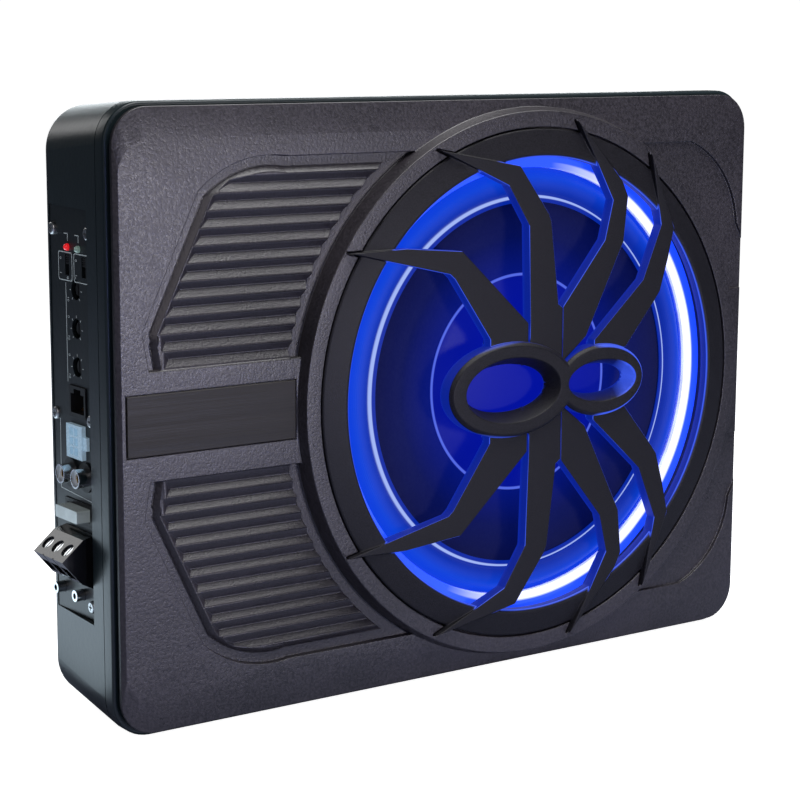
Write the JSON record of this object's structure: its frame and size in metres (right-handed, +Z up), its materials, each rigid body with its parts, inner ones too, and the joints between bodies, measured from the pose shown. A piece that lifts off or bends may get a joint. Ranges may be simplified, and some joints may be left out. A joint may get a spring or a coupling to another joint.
{
  "type": "powered car subwoofer",
  "caption": "Slim under-seat powered car subwoofer: a rounded flat case with a ribbed cover, a lit round driver behind a spoked guard, and a side panel of sockets and controls.",
  "frame": {"origin": "centre of the whole object's box, on the surface that it stands on", "axes": "+Z up with the object standing on its long lower side; the driver faces -Y; the control panel is on the -X side"},
  "size_m": [0.362, 0.0764, 0.265],
  "materials": {
    "shell": "cast, satin dark powder coat",
    "frame_coat": "cast, satin dark powder coat",
    "cover_plastic": "fine moulded grain",
    "guard_plastic": "fine moulded grain",
    "badge_metal": "brushed",
    "light_guide": "clear diffusing, lit blue",
    "led_pcb": "white lacquered board",
    "rubber_black": "soft matt",
    "cone_paper": "pressed pulp, black",
    "cap_plastic": "polished dome",
    "basket_steel": "stamped, black coat",
    "ferrite": "sintered, dull",
    "plated_steel": "zinc plated",
    "copper_wire": "enamelled winding",
    "former_card": "thin foil",
    "damper_cloth": "resin treated cloth",
    "screw_black": "black oxide",
    "screw_silver": "nickel plated",
    "insert_brass": "knurled",
    "board_green": "solder mask",
    "heat_aluminium": "extruded",
    "part_epoxy": "moulded epoxy",
    "can_sleeve": "shrunk sleeve",
    "core_coat": "coated powder core",
    "panel_plastic": "printed satin panel",
    "led_red_lens": "tinted lens",
    "led_green_lens": "clear lens",
    "switch_shell": "tinned can",
    "slider_plastic": "moulded",
    "pot_shell": "tinned can",
    "shaft_black": "moulded nylon",
    "jack_black": "moulded nylon",
    "gold_contact": "gold plated",
    "socket_white": "moulded nylon",
    "rca_black": "moulded",
    "rca_metal": "nickel plated",
    "insulator_white": "moulded",
    "holder_black": "moulded",
    "fuse_clear": "milky clear",
    "fuse_metal": "zinc strip",
    "terminal_black": "moulded nylon",
    "jack_nickel": "nickel plated"
  },
  "bodies": {
    "housing": {"rear_shell": "shell", "front_frame": "frame_coat", "front_cover": "cover_plastic", "badge_plate": "badge_metal", "spoke_guard": "guard_plastic", "light_ring": "light_guide", "led_board": "led_pcb", "basket": "basket_steel", "driver_gasket": "rubber_black", "driver_terminals": "board_green", "top_plate": "plated_steel", "ring_magnet": "ferrite", "pole_yoke": "plated_steel", "surround": "rubber_black", "damper": "damper_cloth", "driver_screws": "screw_black", "guard_screws": "screw_black", "cover_screws": "screw_black", "mount_inserts": "insert_brass", "amp_board": "board_green", "heatsink": "heat_aluminium", "transistors": "part_epoxy", "capacitors": "can_sleeve", "toroid_core": "core_coat", "toroid_winding": "copper_wire", "control_board": "board_green", "control_panel": "panel_plastic", "panel_screws": "screw_silver", "red_led": "led_red_lens", "green_led": "led_green_lens", "switch_bodies": "switch_shell", "pot_bodies": "pot_shell", "remote_jack": "jack_black", "jack_contacts": "gold_contact", "speaker_socket": "socket_white", "socket_pins": "gold_contact", "rca_housing": "rca_black", "rca_shells": "rca_metal", "rca_insulators": "insulator_white", "rca_contacts": "gold_contact", "fuse_holder": "holder_black", "terminal_block": "terminal_black", "small_jacks": "jack_nickel"},
    "cone_assembly": {"cone": "cone_paper", "dust_cap": "cap_plastic", "coil_former": "former_card", "voice_coil": "copper_wire"},
    "rear_switch": {"rear_slider": "slider_plastic"},
    "front_switch": {"front_slider": "slider_plastic"},
    "pot_1": {"pot_shaft_1": "shaft_black"},
    "pot_2": {"pot_shaft_2": "shaft_black"},
    "pot_3": {"pot_shaft_3": "shaft_black"},
    "fuse": {"fuse_body": "fuse_clear", "fuse_blades": "fuse_metal"},
    "screw_1": {"terminal_screw_1": "screw_silver"},
    "clamp_1": {"terminal_clamp_1": "plated_steel"},
    "screw_2": {"terminal_screw_2": "screw_silver"},
    "clamp_2": {"terminal_clamp_2": "plated_steel"},
    "screw_3": {"terminal_screw_3": "screw_silver"},
    "clamp_3": {"terminal_clamp_3": "plated_steel"}
  },
  "joints": [
    {"name": "cone_travel", "type": "slide", "parent": "housing", "child": "cone_assembly", "axis": [0, -1, 0], "range_m": [-0.004, 0.004], "stiffness_N_per_m": 2500, "deforming": ["surround", "damper"]},
    {"name": "rear_switch_slide", "type": "slide", "parent": "housing", "child": "rear_switch", "axis": [0, 0, -1], "range_m": [0, 0.004]},
    {"name": "front_switch_slide", "type": "slide", "parent": "housing", "child": "front_switch", "axis": [0, 0, -1], "range_m": [0, 0.004]},
    {"name": "pot_1_turn", "type": "hinge", "parent": "housing", "child": "pot_1", "pos_m": [-0.1644, 0.01055, 0.1863], "axis": [1, 0, 0], "range_deg": [-140, 140]},
    {"name": "pot_2_turn", "type": "hinge", "parent": "housing", "child": "pot_2", "pos_m": [-0.1644, 0.01055, 0.17], "axis": [1, 0, 0], "range_deg": [-140, 140]},
    {"name": "pot_3_turn", "type": "hinge", "parent": "housing", "child": "pot_3", "pos_m": [-0.1644, 0.01055, 0.1538], "axis": [1, 0, 0], "range_deg": [-140, 140]},
    {"name": "fuse_pull", "type": "slide", "parent": "housing", "child": "fuse", "axis": [-1, 0, 0], "range_m": [0, 0.016]},
    {"name": "screw_1_turn", "type": "hinge", "parent": "housing", "child": "screw_1", "pos_m": [-0.17569, 0.00215, 0.07763], "axis": [0.6481, 0, -0.7615], "range_deg": [-1080, 900]},
    {"name": "clamp_1_slide", "type": "slide", "parent": "housing", "child": "clamp_1", "axis": [0.6481, 0, -0.7615], "range_m": [-0.0017, 0.002]},
    {"name": "screw_2_turn", "type": "hinge", "parent": "housing", "child": "screw_2", "pos_m": [-0.17569, 0.01115, 0.07763], "axis": [0.6481, 0, -0.7615], "range_deg": [-1080, 900]},
    {"name": "clamp_2_slide", "type": "slide", "parent": "housing", "child": "clamp_2", "axis": [0.6481, 0, -0.7615], "range_m": [-0.0017, 0.002]},
    {"name": "screw_3_turn", "type": "hinge", "parent": "housing", "child": "screw_3", "pos_m": [-0.17569, 0.02015, 0.07763], "axis": [0.6481, 0, -0.7615], "range_deg": [-1080, 900]},
    {"name": "clamp_3_slide", "type": "slide", "parent": "housing", "child": "clamp_3", "axis": [0.6481, 0, -0.7615], "range_m": [-0.0017, 0.002]}
  ],
  "couplings": [
    {"joint": "screw_1_turn", "follows": "clamp_1_slide", "rad_per_m": -8976},
    {"joint": "screw_2_turn", "follows": "clamp_2_slide", "rad_per_m": -8976},
    {"joint": "screw_3_turn", "follows": "clamp_3_slide", "rad_per_m": -8976}
  ]
}
